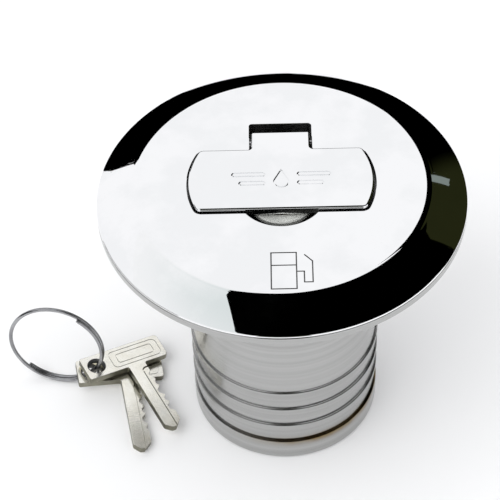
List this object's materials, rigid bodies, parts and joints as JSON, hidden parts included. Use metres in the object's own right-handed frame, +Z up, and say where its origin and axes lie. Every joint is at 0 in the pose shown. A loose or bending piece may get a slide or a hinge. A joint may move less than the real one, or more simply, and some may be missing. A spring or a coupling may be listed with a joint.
{
  "type": "locking deck fill cap",
  "caption": "Round chromed deck fill: flanged filler with a ribbed hose tail, screw cap over the flange, lock under a folding T-shaped handle, and keys on a ring.",
  "frame": {"origin": "on the neck's axis, on the underside of the deck flange, which is the deck's surface", "axes": "+Z up out of the deck along the neck's axis, -Y towards the front edge of the handle, where the lock is, +X along the handle's bar"},
  "size_m": [0.1223, 0.092, 0.0816],
  "materials": {
    "polished_chrome": "mirror polished",
    "turned_chrome": "fine turned, bright",
    "steel": "satin",
    "brass": "turned",
    "nickel": "nickel plated, satin",
    "rubber": "matt black"
  },
  "bodies": {
    "filler": {"filler_body": "turned_chrome"},
    "seal": {"seal_ring": "rubber"},
    "cap": {"cap_cover": "polished_chrome", "hinge_pin": "steel", "flap_spring": "steel", "plug_body": "steel", "plug_screws": "steel", "lock_gasket": "rubber", "lock_housing": "steel", "lock_nut": "brass"},
    "handle": {"flap": "polished_chrome"},
    "core": {"lock_core": "brass", "core_oring": "rubber", "wafer_springs": "steel", "stop_washer": "steel", "tongue": "steel", "tongue_screw": "steel"},
    "wafer_stack": {"wafers": "brass"},
    "ring": {"split_ring": "steel"},
    "upper_key": {"key_a": "nickel"},
    "lower_key": {"key_b": "nickel"}
  },
  "joints": [
    {"name": "cap_rise", "type": "slide", "parent": "filler", "child": "seal", "axis": [0, 0, 1], "range_m": [0, 0.048]},
    {"name": "cap_turn", "type": "hinge", "parent": "seal", "child": "cap", "pos_m": [0, 0, 0], "axis": [0, 0, 1], "range_deg": [0, 720]},
    {"name": "handle_lift", "type": "hinge", "parent": "cap", "child": "handle", "pos_m": [0, 0.015, 0.0056], "axis": [-1, 0, 0], "range_deg": [0, 90], "stiffness_Nm_per_rad": 0.004, "springref_deg": -34.38},
    {"name": "lock_turn", "type": "hinge", "parent": "cap", "child": "core", "pos_m": [0, -0.004, 0], "axis": [0, 0, -1], "range_deg": [0, 90]},
    {"name": "wafer_slide", "type": "slide", "parent": "core", "child": "wafer_stack", "axis": [1, 0, 0], "range_m": [0, 0.0008]},
    {"name": "keys_lift", "type": "slide", "parent": "filler", "child": "ring", "axis": [0, 0, 1], "range_m": [0, 0.05]},
    {"name": "upper_key_swing", "type": "hinge", "parent": "ring", "child": "upper_key", "pos_m": [-0.05241, 0.00183, -0.0667], "axis": [0.1613, 0.0123, 0.9868], "range_deg": [-8, 8]},
    {"name": "lower_key_swing", "type": "hinge", "parent": "ring", "child": "lower_key", "pos_m": [-0.05442, 0.00194, -0.0691], "axis": [0.155, -0.0242, 0.9876], "range_deg": [-8, 8]}
  ],
  "couplings": [
    {"joint": "cap_rise", "follows": "cap_turn", "m_per_rad": 0.0038197}
  ]
}
